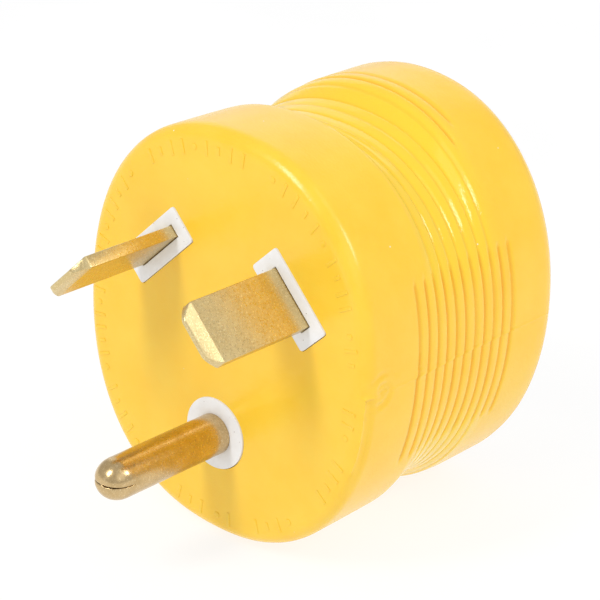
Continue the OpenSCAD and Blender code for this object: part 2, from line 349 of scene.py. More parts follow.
class Recipe:
    """A material being made, with short calls for the nodes that it uses."""

    def __init__(self, name: str) -> None:
        """Starts a material with a plain shader.

        Args:
            name: the material's name.
        """
        self.material = bpy.data.materials.new(name)
        self.material.use_nodes = True
        tree = self.material.node_tree
        tree.nodes.clear()
        self.nodes, self.links = tree.nodes, tree.links
        self.shader = self.nodes.new("ShaderNodeBsdfPrincipled")
        output = self.nodes.new("ShaderNodeOutputMaterial")
        self.links.new(self.shader.outputs[0], output.inputs["Surface"])
        self.place = self.nodes.new("ShaderNodeTexCoord").outputs["Object"]

    def feed(self, socket: bpy.types.NodeSocket, value: object) -> None:
        """Gives a socket a number, a colour or another socket's output."""
        if isinstance(value, bpy.types.NodeSocket):
            self.links.new(value, socket)
        else:
            socket.default_value = value

    def set(self, **values: object) -> None:
        """Sets the shader's own sockets, with _ for a blank in their names."""
        for name, value in values.items():
            self.feed(self.shader.inputs[name.replace("_", " ")], value)

    def spread(self, stretch: Sequence[float]) -> bpy.types.NodeSocket:
        """The place on the piece, stretched by factors on X, Y and Z."""
        mapping = self.nodes.new("ShaderNodeMapping")
        self.feed(mapping.inputs["Vector"], self.place)
        mapping.inputs["Scale"].default_value = stretch
        return mapping.outputs[0]

    def noise(self, size: float, detail: float = 2.0, rough: float = 0.5,
              place: bpy.types.NodeSocket | None = None) -> bpy.types.NodeSocket:
        """Soft noise from 0 to 1.

        Args:
            size: the size of its blotches in millimetres.
            detail: how many finer layers it has.
            rough: how strong those are.
            place: where it is read, or nothing for the piece's own place.

        Returns:
            The noise.
        """
        node = self.nodes.new("ShaderNodeTexNoise")
        self.feed(node.inputs["Vector"], place or self.place)
        node.inputs["Scale"].default_value = 1 / (size * MM)
        node.inputs["Detail"].default_value = detail
        node.inputs["Roughness"].default_value = rough
        return node.outputs["Fac"]

    def cells(self, size: float) -> bpy.types.NodeSocket:
        """Distance to the nearest of scattered points, in cells of a size in millimetres."""
        node = self.nodes.new("ShaderNodeTexVoronoi")
        self.feed(node.inputs["Vector"], self.place)
        node.inputs["Scale"].default_value = 1 / (size * MM)
        return node.outputs["Distance"]

    def reach(self, value: object, low: float, high: float, out_low: float = 0.0,
              out_high: float = 1.0) -> bpy.types.NodeSocket:
        """Maps a value from one range to another, held at the ends.

        Args:
            value: the value.
            low: the range's start.
            high: the range's end.
            out_low: what the start becomes.
            out_high: what the end becomes.

        Returns:
            The mapped value.
        """
        node = self.nodes.new("ShaderNodeMapRange")
        self.feed(node.inputs["Value"], value)
        for name, number in (("From Min", low), ("From Max", high),
                             ("To Min", out_low), ("To Max", out_high)):
            node.inputs[name].default_value = number
        return node.outputs["Result"]

    def blend(self, share: object, first: object, second: object) -> bpy.types.NodeSocket:
        """Mixes two colours.

        Args:
            share: how much of the second there is.
            first: the first colour.
            second: the second colour.

        Returns:
            The mixed colour.
        """
        node = self.nodes.new("ShaderNodeMix")
        node.data_type = "RGBA"
        self.feed(node.inputs[0], share)
        self.feed(node.inputs[6], first)
        self.feed(node.inputs[7], second)
        return node.outputs[2]

    def mark(self, name: str) -> bpy.types.NodeSocket:
        """A number that the mesh carries under a name."""
        node = self.nodes.new("ShaderNodeAttribute")
        node.attribute_name = name
        return node.outputs["Fac"]

    def bump(self, *layers: tuple[bpy.types.NodeSocket, float]) -> None:
        """Raises the surface by layers of height, each with its depth in millimetres."""
        below = None
        for height, depth in layers:
            node = self.nodes.new("ShaderNodeBump")
            node.inputs["Distance"].default_value = depth * MM
            self.feed(node.inputs["Height"], height)
            if below is not None:
                self.feed(node.inputs["Normal"], below)
            below = node.outputs[0]
        self.feed(self.shader.inputs["Normal"], below)


@dataclass(frozen=True)
class MouldedVinyl:
    """Soft satin vinyl, with a fine orange peel, slow drifts of tone, painted shade in the grip grooves
    and painted bounce light in the waist.
    """

    tone: tuple = (0.98, 0.62, 0.048, 1)
    deep: tuple = (0.98, 0.585, 0.032, 1)
    # The waist colour is painted bounce light: a lighter lemon tone in the concave waist.
    waist: tuple = (0.97, 0.645, 0.034, 1)
    # The groove colour is painted shade: a darker orange laid into the grooves by their depth.
    groove: tuple = (0.93, 0.40, 0.012, 1)
    dust: tuple = (0.98, 0.88, 0.64, 1)
    satin: float = 0.25
    gloss: float = 0.13

    def make(self, name: str) -> bpy.types.Material:
        """Makes the material.

        Args:
            name: its name.

        Returns:
            The material.
        """
        r = Recipe(name)
        drift = r.reach(r.noise(9.0, 3.0, 0.55), 0.35, 0.65)
        tone = r.blend(drift, self.tone, self.deep)
        # Painted bounce light: the waist is tinted lighter lemon.
        tone = r.blend(r.mark(WAIST_BOUNCE_AND_GLOSS), tone, self.waist)
        # Painted shade: darker orange in the grooves, by their depth.
        tone = r.blend(r.reach(r.mark(GROOVE_SHADE), 0.1, 0.9, 0.0, 0.62), tone, self.groove)
        specks = r.reach(r.cells(4.5), 0.03, 0.02)
        r.set(Base_Color=r.blend(specks, tone, self.dust))
        peel = r.noise(0.5, 2.0, 0.5)
        r.set(Roughness=r.reach(r.mark(WAIST_BOUNCE_AND_GLOSS), 0.0, 1.0, self.satin, self.gloss), IOR=1.5)
        r.set(Subsurface_Weight=0.12, Subsurface_Radius=(1.0, 0.6, 0.1), Subsurface_Scale=0.0008)
        r.bump((r.noise(7.0, 2.0), 0.10), (peel, 0.028))
        return r.material


@dataclass(frozen=True)
class WhiteInsulator:
    """Matt white thermoset, with a faint grain and tiny dark specks."""

    tone: tuple = (0.87, 0.865, 0.86, 1)
    shade: tuple = (0.82, 0.81, 0.80, 1)
    speck: tuple = (0.30, 0.24, 0.20, 1)

    def make(self, name: str) -> bpy.types.Material:
        """Makes the material.

        Args:
            name: its name.

        Returns:
            The material.
        """
        r = Recipe(name)
        tone = r.blend(r.reach(r.noise(1.6, 4.0, 0.6), 0.35, 0.7), self.tone, self.shade)
        specks = r.reach(r.cells(1.1), 0.075, 0.05)
        r.set(Base_Color=r.blend(specks, tone, self.speck))
        r.set(Roughness=r.reach(r.noise(0.8), 0.3, 0.7, 0.48, 0.6))
        r.bump((r.noise(0.22, 3.0, 0.6), 0.012))
        return r.material


@dataclass(frozen=True)
class Metal:
    """Worn bare metal with a mottled, speckled skin and fine rolling lines. Its bright speckles are
    partly the grain's own tone and partly painted glints, and it paints shade where a piece marks its
    slit and crease.
    """

    tone: tuple
    tarnish: tuple
    # The bright colour is partly the grain's own tone and partly painted glints.
    bright: tuple
    rough: float = 0.3
    grain: float = 0.3
    lines: tuple = (1, 1, 1)
    relief: float = 0.009
    # This dark colour is painted shade for the pin's slit and crease.
    painted_slit_shade: tuple = (0.06, 0.03, 0.012, 1)

    def make(self, name: str) -> bpy.types.Material:
        """Makes the material.

        Args:
            name: its name.

        Returns:
            The material.
        """
        r = Recipe(name)
        patches = r.reach(r.noise(2.2, 4.0, 0.6), 0.38, 0.66)
        tone = r.blend(patches, self.tone, self.tarnish)
        # Brighter speckles: partly the grain's own tone, partly painted glints.
        grain_and_glint = r.reach(r.noise(self.grain, 3.0, 0.7), 0.54, 0.70)
        tone = r.blend(grain_and_glint, tone, self.bright)
        # Painted shade: darkened where a piece marks its slit and crease.
        r.set(Base_Color=r.blend(r.reach(r.mark(SLIT_SHADE), 0.2, 0.6), tone, self.painted_slit_shade), Metallic=1.0)
        wear = r.noise(self.grain * 1.6, 3.0, 0.65)
        r.set(Roughness=r.reach(wear, 0.3, 0.7, self.rough * 0.8, self.rough * 1.3))
        rolled = r.noise(self.grain, 3.0, 0.6, r.spread(self.lines))
        r.bump((r.noise(self.grain, 3.0, 0.65), self.relief), (rolled, self.relief * 0.7))
        return r.material


BRASS = Metal((0.71, 0.565, 0.285, 1), (0.66, 0.51, 0.245, 1), (0.95, 0.81, 0.48, 1),
              rough=0.29, grain=0.24, lines=(1, 0.2, 1), relief=0.018)
PIN_BRASS = Metal((0.63, 0.46, 0.235, 1), (0.54, 0.385, 0.185, 1), (0.8, 0.62, 0.36, 1),
                  rough=0.23, grain=0.3, lines=(1, 0.1, 1), relief=0.008)
COPPER = Metal((0.80, 0.36, 0.20, 1), (0.50, 0.20, 0.11, 1), (0.95, 0.55, 0.36, 1), 0.32, 0.4)
BRONZE = Metal((0.62, 0.42, 0.20, 1), (0.42, 0.27, 0.13, 1), (0.84, 0.66, 0.38, 1), 0.28, 0.35)
STEEL = Metal((0.62, 0.62, 0.60, 1), (0.46, 0.45, 0.42, 1), (0.85, 0.85, 0.83, 1), 0.26, 0.35)


# --------------------------------------------------------------------- shapes


def gather(turns: np.ndarray, strength: float) -> np.ndarray:
    """Crowds evenly spaced angles towards 0 and half a turn.

    Args:
        turns: angles in radians.
        strength: from 0, even, to just below 1.

    Returns:
        The crowded angles.
    """
    return turns - strength * np.sin(2 * turns) / 2


def flow(knots: Sequence[float], values: Sequence[float], at: np.ndarray) -> np.ndarray:
    """A smooth curve through points that doesn't overshoot them.

    Args:
        knots: the points' positions, rising.
        values: the points' values.
        at: where the curve is wanted.

    Returns:
        The curve's values.
    """
    x, v = np.asarray(knots, float), np.asarray(values, float)
    step = np.diff(x)
    rise = np.diff(v) / step
    slope = np.zeros_like(v)
    same = rise[1:] * rise[:-1] > 0
    slope[1:-1][same] = 2 * rise[1:][same] * rise[:-1][same] / (rise[1:] + rise[:-1])[same]
    at = np.clip(at, x[0], x[-1])
    i = np.clip(np.searchsorted(x, at, side="right") - 1, 0, len(step) - 1)
    t = (at - x[i]) / step[i]
    return (v[i] * (1 + 2 * t) * (1 - t) ** 2 + v[i + 1] * t * t * (3 - 2 * t)
            + step[i] * (slope[i] * t * (1 - t) ** 2 - slope[i + 1] * t * t * (1 - t)))


def step_up(value: np.ndarray, low: float, high: float) -> np.ndarray:
    """A soft step from 0 at low to 1 at high."""
    t = np.clip((value - low) / (high - low), 0, 1)
    return t * t * (3 - 2 * t)


def hump(distance: np.ndarray, width: float) -> np.ndarray:
    """A soft hump of height 1 round 0."""
    return np.exp(-((distance / width) ** 2))


def sleeve(sides: int, rings: int) -> tuple[bpy.types.Object, np.ndarray, np.ndarray]:
    """An open tube along Y whose rings are still to be placed.

    Args:
        sides: how many vertices each ring has.
        rings: how many rings it has.

    Returns:
        The tube, each vertex's angle about Y, and each vertex's ring number.
    """
    bpy.ops.mesh.primitive_cylinder_add(
        vertices=sides, radius=MM, depth=MM, end_fill_type="NOTHING",
        rotation=(math.pi / 2, 0, 0))
    tube = bpy.context.object
    settle(tube)
    with editing(tube, "EDGE"):
        pick(tube, "edges", lambda e: abs(e.verts[0].co.y - e.verts[1].co.y) > 0.5 * MM)
        bpy.ops.mesh.subdivide(number_cuts=rings - 2)
    rows = points_of(tube)
    ring = np.rint((rows[:, 1] + 0.5) * (rings - 1)).astype(int)
    return tube, np.arctan2(rows[:, 2], rows[:, 0]), ring


# --------------------------------------------------------------------- jacket


@dataclass
class Jacket(Piece):
    """The yellow body: two pucks, a waist, grip grooves and the plug face."""

    name = "jacket_body"
    slot = Slot.MOULDING
    nodes = ("jacket",)

    length: float = 46.7
    sides: int = 400
    front_round: float = 2.2
    rear_round: float = 4.0
    gather: float = 0.66
    groove_start: float = 11.7
    groove_pitch: float = 2.25
    groove_count: int = 11
    groove_depth: float = 0.42
    waist_depth: float = 0.17
    groove_width: float = 0.2
    flank_reach: float = 14.2
    cap_from: tuple = (60.0, 66.0)
    front_wall: float = 3.0
    core_radius: float = 22.0
    lip: float = 41.0
    opening: float = 19.08
    blade_x: float = 13.0
    blade_z: float = 10.9
    blade_turn: float = 45.0
    window: tuple = (14.28, 6.08)
    window_shift: tuple = (0.04, -0.05)
    pin_drop: float = 15.3
    pin_window: float = 5.7
    part_z: float = 0.3
    seam_height: float = 0.07
    gate: tuple = (3.6, 0.5)
    swirl_height: float = 0.15
    crater_height: float = 0.20
    crater_depth: float = 0.30
    scar: tuple = (12.3, 0.7)
    blob_height: float = 0.18
    nib_height: float = 0.6
    flash_height: float = 0.45
    step_depth: float = 0.34
    knots: tuple = (0, 12.5, 14.6, 17, 22, 27, 31, 33.5, 46.7)
    half_heights: tuple = (32.1, 31.9, 31.8, 30.07, 28.88, 29.71, 32.2, 32.68, 32.68)
    half_widths: tuple = (27.92, 27.92, 27.61, 27.56, 27.56)
    widest: float = 27.995

    def outline(self, turn: np.ndarray, y: np.ndarray) -> np.ndarray:
        """The body's radius before any edge or groove.

        Args:
            turn: angles about Y, in radians.
            y: distances behind the plug face.

        Returns:
            The radii.
        """
        half_height = flow(self.knots, self.half_heights, y)
        half_width = flow((0, 13, 22, 34, 46.7), self.half_widths, y)
        power = flow((0, 12, 18, 26, 33, 46.7), (2.23, 2.23, 2.24, 2.24, 2.1, 2.1), y)
        across = (np.abs(np.cos(turn)) / half_width) ** power
        up = (np.abs(np.sin(turn)) / half_height) ** power
        return (across + up) ** (-1 / power)

    def stations(self) -> np.ndarray:
        """Rings from the plug face over the outside to the inner front wall.

        Returns:
            Rows of place along Y, inset from the outline, and radius where round.
        """
        rows = [(0, self.front_round + 0.4, 0)]
        for a in np.radians(np.linspace(0, 90, 13)):
            rows.append((self.front_round * (1 - math.cos(a)),
                         self.front_round * (1 - math.sin(a)), 0))
        rows += [(y, 0, 0) for y in np.arange(self.front_round + 0.26, 6.6, 0.26)]
        rows += [(y, 0, 0) for y in np.linspace(6.8, 10.8, 6)]
        over_groove = (*np.arange(-0.5, 0.71, 0.12), 0.98, 1.24, 1.5)
        for i in range(self.groove_count):
            rows += [(self.groove_start + i * self.groove_pitch + off, 0, 0) for off in over_groove]
        rows += [(y, 0, 0) for y in np.linspace(rows[-1][0], self.length - self.rear_round, 11)[1:]]
        for a in np.radians(np.linspace(9, 90, 10)):
            rows.append((self.length - self.rear_round * (1 - math.sin(a)),
                         self.rear_round * (1 - math.cos(a)), 0))
        rows.append((self.length, self.rear_round + 0.4, 0))
        for out, back in ((0.9, 0), (0.5, 0), (0.25, 0.07), (0.07, 0.25), (0, 0.5)):
            rows.append((self.length - back, 0, self.opening + out))
        rows += [(self.lip, 0, self.opening), (self.lip, 0, self.core_radius),
                 (self.front_wall, 0, self.core_radius)]
        return np.array(rows)

    def grooves(self, turn: np.ndarray, y: np.ndarray, z: np.ndarray) -> np.ndarray:
        """How deep the grip grooves cut.

        Args:
            turn: angles about Y, in radians.
            y: distances behind the plug face.
            z: heights.

        Returns:
            The depths.
        """
        depth = np.zeros_like(y)
        upper = step_up(z, self.part_z - 0.12, self.part_z + 0.12)
        flank = 1 - step_up(np.abs(z), self.flank_reach - 1.0, self.flank_reach + 0.6)
        steep = np.degrees(np.arcsin(np.clip(np.abs(np.sin(turn)), 0, 1)))
        faint = self.waist_depth / self.groove_depth
        for i in range(self.groove_count):
            away = y - (self.groove_start + i * self.groove_pitch + 0.22 * upper)
            cut = self.groove_depth * hump(away, self.groove_width) + 0.05 * hump(away, 0.7)
            from_last = self.groove_count - 1 - i
            if i < 2:
                share = flank
            elif from_last < 2:
                start = self.cap_from[1 - from_last]
                share = np.maximum(flank, 0.8 * step_up(steep, start - 1.5, start + 1.5))
            else:
                share = faint + (1 - faint) * flank
            depth += cut * share
        return depth

    def seam(self, x: np.ndarray, y: np.ndarray, z: np.ndarray) -> np.ndarray:
        """Relief of the mould's parting line and the gate scar, outwards.

        Args:
            x: places across.
            y: distances behind the plug face.
            z: heights.

        Returns:
            The heights.
        """
        line = self.seam_height * hump(z - self.part_z, 0.14)
        near = step_up(x, 20, 24)
        off_y, off_z = y - self.gate[0], z - self.gate[1]
        away = np.hypot(off_y, off_z)
        angle = np.arctan2(off_z, off_y)
        fade = step_up(away, 0.5, 1.2) * (1 - step_up(away, 2.6, 3.6))
        swirl = self.swirl_height * np.sin(3.1 * away + angle) * fade - 0.1 * fade
        crater = (self.crater_height * hump(away - 0.95, 0.22) * (0.6 + 0.4 * np.sin(2 * angle))
                  - self.crater_depth * hump(away - 0.1, 0.45))
        scar = np.hypot(y - self.scar[0], z - self.scar[1])
        blob = self.blob_height * hump(scar - 0.55, 0.22) - 0.12 * hump(scar, 0.3)
        nib = self.nib_height * hump(y - 0.7, 0.4) * hump(z - self.part_z, 0.4)
        return line + near * (swirl + crater + blob + nib)

    def edge_crease(self, x: np.ndarray, y: np.ndarray, z: np.ndarray) -> np.ndarray:
        """Depth of the flash line and the step behind it, along the face's edge."""
        along = step_up(x, 12, 20) * (1 - step_up(z, -0.2, 0.2)) * step_up(z, -19, -7)
        return (self.step_depth * hump(y - 1.35, 0.4) - self.flash_height * hump(y - 0.5, 0.32)) * along

    def shell(self) -> bpy.types.Object:
        """The body without its plug face.

        Returns:
            An open shell from the plug face's rim to the inner front wall.
        """
        stations = self.stations()
        tube, turn, ring = sleeve(self.sides, len(stations))
        turn = gather(turn, self.gather)
        y, inset, radius = stations[ring].T
        body = radius == 0
        full = self.outline(turn, y)
        out = full - inset
        x0, z0 = full * np.cos(turn), full * np.sin(turn)
        grip = self.grooves(turn, y, z0)
        relief = self.seam(x0, y, z0) - grip - self.edge_crease(x0, y, z0)
        outside = body & (inset < 2.0)
        out = np.where(outside, out + relief, out)
        out = np.where(body, out, radius)
        x = np.clip(out * np.cos(turn), -self.widest, self.widest)
        set_points(tube, np.column_stack([x, y, out * np.sin(turn)]))
        # The waist share lightens the tint there as painted bounce light and makes the surface
        # glossier; the groove share paints shade in the grooves.
        waist_bounce_and_gloss = step_up(y, 12, 18) * (1 - step_up(y, 29, 34)) * step_up(np.abs(z0), 6, 16)
        for name, share in ((GROOVE_SHADE, grip / self.groove_depth), (WAIST_BOUNCE_AND_GLOSS, waist_bounce_and_gloss)):
            write_mark(tube, name, np.where(outside, share, 0))
        return tube

    def windows(self) -> list[bpy.types.Object]:
        """The outlines of the collars' windows, as loops of edges in the plug face.

        Returns:
            The three loops.
        """
        loops = []
        shift = Vector((self.window_shift[0], 0, self.window_shift[1]))
        for side in Side:
            bpy.ops.mesh.primitive_plane_add(size=MM, rotation=(math.pi / 2, 0, 0))
            loop = bpy.context.object
            loop.scale = (self.window[0], self.window[1], 1)
            settle(loop)
            with editing(loop, "VERT"):
                bpy.ops.mesh.select_all(action="SELECT")
                bpy.ops.mesh.bevel(offset=0.45 * MM, segments=4, affect="VERTICES")
                bpy.ops.mesh.select_all(action="SELECT")
                bpy.ops.mesh.delete(type="ONLY_FACE")
            loop.rotation_euler = (0, math.radians(side.value * self.blade_turn), 0)
            loop.location = (shift + Vector((side.value * self.blade_x, 0, self.blade_z))) * MM
            settle(loop)
            loops.append(loop)
        bpy.ops.mesh.primitive_circle_add(
            vertices=72, radius=self.pin_window * MM, rotation=(math.pi / 2, 0, 0),
            location=(shift - Vector((0, 0, self.pin_drop))) * MM)
        settle(bpy.context.object)
        return loops + [bpy.context.object]

    def build(self) -> bpy.types.Object:
        """Closes the shell with the plug face, its windows and the front wall.

        Returns:
            The body.
        """
        body = join([self.shell(), *self.windows()])
        inner = self.front_wall * MM

        def edge_at(y: float) -> Callable:
            """A test for open edges in the plane at y."""
            return lambda e: len(e.link_faces) < 2 and all(abs(v.co.y - y) < NEAR for v in e.verts)

        def loose(e: bmesh.types.BMEdge) -> bool:
            """If an edge belongs to a window's loop."""
            return not e.link_faces

        with editing(body, "EDGE"):
            pick(body, "edges", loose)
            bpy.ops.mesh.extrude_region_move(TRANSFORM_OT_translate={"value": (0, inner, 0)})
            for y in (0.0, inner):
                pick(body, "edges", edge_at(y))
                bpy.ops.mesh.fill(use_beauty=True)
        tidy_shell(body, 0.0005)
        smooth(body, 50)
        return body


@dataclass
class RimMarks(Piece):
    """Raised bars and pips round the plug face, in groups, with no meaning."""

    name = "rim_marks"
    slot = Slot.MOULDING

    body: Jacket
    inside: float = 0.9
    height: float = 0.1
    root: float = 0.08
    rounding: float = 0.1
    pip_radius: float = 0.5
    groups: tuple = ((-104, 3), (-88, 2), (-72, 4), (-40, 4), (-15, 3), (11, 3), (29, 4),
                     (49, 6), (84, 9), (133, 8), (176, 8), (216, 5))
    step: float = 4.7
    pattern: str = "bsbpbbsbpbsbbpb"
    sizes: dict = field(default_factory=lambda: {"b": (0.55, 2.3), "s": (0.55, 1.3), "p": (0, 0)})

    def master(self, kind: str) -> bpy.types.Object:
        """One mark at the origin, upright, facing the front.

        Args:
            kind: b for a bar, s for a short bar, p for a round pip.

        Returns:
            The mark.
        """
        wide, tall = self.sizes[kind]
        if wide:
            mark = box((wide, self.height + self.root, tall), (0, (self.root - self.height) / 2, 0))
        else:
            mark = bar(self.pip_radius, -self.height, self.root, steps=24)
        round_edges(mark, self.rounding, steps=3)
        return mark

    def build(self) -> bpy.types.Object:
        """Copies the marks round the rim.

        Returns:
            All the marks as one piece.
        """
        masters = {kind: self.master(kind) for kind in self.sizes}
        marks, count = [], 0
        for start, number in self.groups:
            for i in range(number):
                kind = self.pattern[count % len(self.pattern)]
                count += 1
                turn = math.radians(start + i * self.step)
                radius = float(self.body.outline(np.array([turn]), np.array([0.0]))[0]) * self.inside
                at = Vector((math.cos(turn), 0, math.sin(turn))) * radius * MM
                mark = masters[kind].copy()
                mark.data = masters[kind].data.copy()
                bpy.context.scene.collection.objects.link(mark)
                mark.matrix_world = Matrix.Translation(at) @ Matrix.Rotation(math.pi / 2 - turn, 4, "Y")
                settle(mark)
                marks.append(mark)
        for master in masters.values():
            bpy.data.objects.remove(master, do_unlink=True)
        piece = join(marks)
        smooth(piece, 60)
        return piece


# ----------------------------------------------------------------------- core


@dataclass
class PlugCore(Piece):
    """The white insulator behind the plug face, with its three collars."""

    name = "collar_core"
    slot = Slot.INSULATOR
    nodes = ("plug_core",)

    radius: float = 22.0
    front: float = 3.0
    back: float = 9.0
    proud: float = 0.25
    collar: tuple = (14.2, 6.0)
    pin_collar: float = 5.65
    blade_x: float = 13.0
    blade_z: float = 10.9
    blade_turn: float = 45.0
    blade: tuple = (9.6, 1.9)
    gap: float = 0.12
    pin_drop: float = 15.3
    stud: float = 2.8
    screws: tuple = ((17.6, -5.5), (-17.6, -5.5), (0, 18.4))
    screw_hole: float = 1.38
    pocket_cut: tuple = (-10.0, 20.0)
    stud_cut: tuple = (-5.0, 15.0)
    screw_cut: tuple = (1.0, 11.0)

    def at_blade(self, piece: bpy.types.Object, side: Side) -> bpy.types.Object:
        """Turns and moves a piece from the origin to a blade's place.

        Args:
            piece: the piece at the origin.
            side: the blade's side.

        Returns:
            The piece, settled.
        """
        piece.rotation_euler = (0, math.radians(side.value * self.blade_turn), 0)
        piece.location = Vector((side.value * self.blade_x, 0, self.blade_z)) * MM
        settle(piece)
        return piece

    def collar_block(self, side: Side) -> bpy.types.Object:
        """A blade's collar with rounded corners."""
        block = box((self.collar[0], self.front + self.proud + 1, self.collar[1]),
                    (0, (self.front + 1 - self.proud) / 2, 0))
        with editing(block, "EDGE"):
            pick(block, "edges", lambda e: abs(e.verts[0].co.y - e.verts[1].co.y) > MM)
            bpy.ops.mesh.bevel(offset=0.5 * MM, segments=4)
        return self.at_blade(block, side)

    def build(self) -> bpy.types.Object:
        """Adds the collars to the disc and cuts the prongs' pockets.

        Returns:
            The insulator.
        """
        core = bar(self.radius, self.front, self.back, steps=128)
        for side in Side:
            combine(core, self.collar_block(side), "UNION")
        collar = bar(self.pin_collar, -self.proud, self.front + 1, z=-self.pin_drop)
        combine(core, collar, "UNION")
        for side in Side:
            start, end = self.pocket_cut
            pocket = box((self.blade[0] + 2 * self.gap, end - start, self.blade[1] + 2 * self.gap),
                         (0, (start + end) / 2, 0))
            combine(core, self.at_blade(pocket, side), "DIFFERENCE")
        combine(core, bar(self.stud + 0.1, *self.stud_cut, z=-self.pin_drop), "DIFFERENCE")
        for x, z in self.screws:
            combine(core, bar(self.screw_hole, *self.screw_cut, x=x, z=z, steps=48), "DIFFERENCE")
        tidy_shell(core)
        round_edges(core, 0.09, 40, 2)
        smooth(core, 40)
        return core


@dataclass
class ReceptacleFace(Piece):
    """The white face with two slots and a ground hole in the body's rear opening."""

    name = "socket_face"
    slot = Slot.INSULATOR
    nodes = ("receptacle_face",)

    flange: float = 22.0
    radius: float = 19.0
    root: float = 38.0
    lip: float = 41.0
    face: float = 46.3
    slot_x: float = 6.35
    slot_z: float = 5.0
    slot_width: float = 2.2
    hot_height: float = 7.0
    neutral_height: float = 8.8
    ground_z: float = -6.9
    ground_radius: float = 2.8
    lead_in: float = 0.45
    ring_inset: float = 1.1
    ring_width: float = 0.5
    ring_depth: float = 0.35

    def cutters(self) -> list[bpy.types.Object]:
        """Solids that cut the two slots and the ground hole, each with its lead-in."""
        tools = []
        for side, tall in ((-1, self.hot_height), (1, self.neutral_height)):
            x = side * self.slot_x
            tools.append(box((self.slot_width, 20, tall), (x, self.root + 5, self.slot_z)))
            mouth = box((self.slot_width, 2 * self.lead_in, tall), (x, self.face, self.slot_z))
            with editing(mouth, "FACE"):
                pick(mouth, "faces", lambda f: f.normal.y > 0.9)
                bpy.ops.transform.resize(
                    value=((self.slot_width + 3 * self.lead_in) / self.slot_width, 1,
                           (tall + 3 * self.lead_in) / tall),
                    center_override=(x * MM, 0, self.slot_z * MM))
            tools.append(mouth)
        tools.append(bar(self.ground_radius, self.root - 5, self.face + 5, z=self.ground_z, steps=64))
        mouth = bar(self.ground_radius, self.face - self.lead_in, self.face + self.lead_in,
                    z=self.ground_z, steps=64)
        with editing(mouth, "FACE"):
            pick(mouth, "faces", lambda f: f.normal.y > 0.9)
            grown = (self.ground_radius + 1.5 * self.lead_in) / self.ground_radius
            bpy.ops.transform.resize(value=(grown, 1, grown),
                                     center_override=(0, 0, self.ground_z * MM))
        return tools + [mouth]

    def build(self) -> bpy.types.Object:
        """Makes the stepped disc, its shallow rim ring and its openings.

        Returns:
            The face.
        """
        disc = bar(self.flange, self.root, self.lip, steps=128)
        with editing(disc, "FACE"):
            pick(disc, "faces", lambda f: f.normal.y > 0.9)
            for inset, rise in ((self.flange - self.radius, self.face - self.lip),
                                (self.ring_inset, -self.ring_depth), (self.ring_width, 0)):
                bpy.ops.mesh.inset(thickness=inset * MM, depth=0)
                bpy.ops.mesh.extrude_region_move(TRANSFORM_OT_translate={"value": (0, rise * MM, 0)})
            bpy.ops.mesh.extrude_region_move(
                TRANSFORM_OT_translate={"value": (0, self.ring_depth * MM, 0)})
        tidy_shell(disc)
        for tool in self.cutters():
            combine(disc, tool, "DIFFERENCE")
        tidy_shell(disc)
        round_edges(disc, 0.12, 40, 2)
        smooth(disc, 40)
        return disc


# --------------------------------------------------------------------- prongs


@dataclass
class Blade(Piece):
    """One flat blade with rounded tip corners and a bevelled tip."""

    slot = Slot.BRASS

    side: Side
    core: PlugCore
    width: float = 9.6
    thickness: float = 1.9
    reach: float = 19.4
    root: float = 10.2
    corner: float = 2.1
    bevel_length: float = 2.3
    bevel_depth: float = 0.6
    edge: float = 0.14
    foot: tuple = (6.6, 1.12, 6.5)
    foot_back: float = 0.6

    @property
    def name(self) -> str:
        """The piece's name, after its side."""
        return f"{self.side.name.lower()}_prong"

    @property
    def nodes(self) -> tuple:
        """The CAD node that the blade stands for."""
        return (f"{self.side.name.lower()}_blade",)

    def build(self) -> bpy.types.Object:
        """Extrudes the blade's outline through its thickness and cuts its tip's bevels.

        Returns:
            The blade.
        """
        bpy.ops.mesh.primitive_plane_add(size=MM, location=(0, 0, -self.thickness / 2 * MM))
        blade = bpy.context.object
        blade.scale = (self.width, self.reach + self.root, 1)
        blade.location.y = (self.root - self.reach) / 2 * MM
        settle(blade)
        tip = -self.reach * MM
        slope = Vector((0, -self.bevel_depth, self.bevel_length)).normalized()
        with editing(blade, "VERT"):
            pick(blade, "verts", lambda v: v.co.y < tip + NEAR)
            bpy.ops.mesh.bevel(offset=self.corner * MM, segments=8, profile=0.34, affect="VERTICES")
            bpy.ops.mesh.select_all(action="SELECT")
            bpy.ops.mesh.extrude_region_move(
                TRANSFORM_OT_translate={"value": (0, 0, self.thickness * MM)})
            for face in (-1, 1):
                bpy.ops.mesh.select_all(action="SELECT")
                bpy.ops.mesh.bisect(
                    plane_co=(0, tip + self.bevel_length * MM, face * self.thickness / 2 * MM),
                    plane_no=(0, slope.y, face * slope.z), use_fill=True, clear_outer=True)
        tidy_shell(blade)
        round_edges(blade, self.edge, 25, 3)
        foot = box(self.foot, (0, self.core.back + self.foot_back, -self.foot[2] / 2))
        combine(blade, foot, "UNION")
        smooth(blade, 14)
        return self.core.at_blade(blade, self.side)


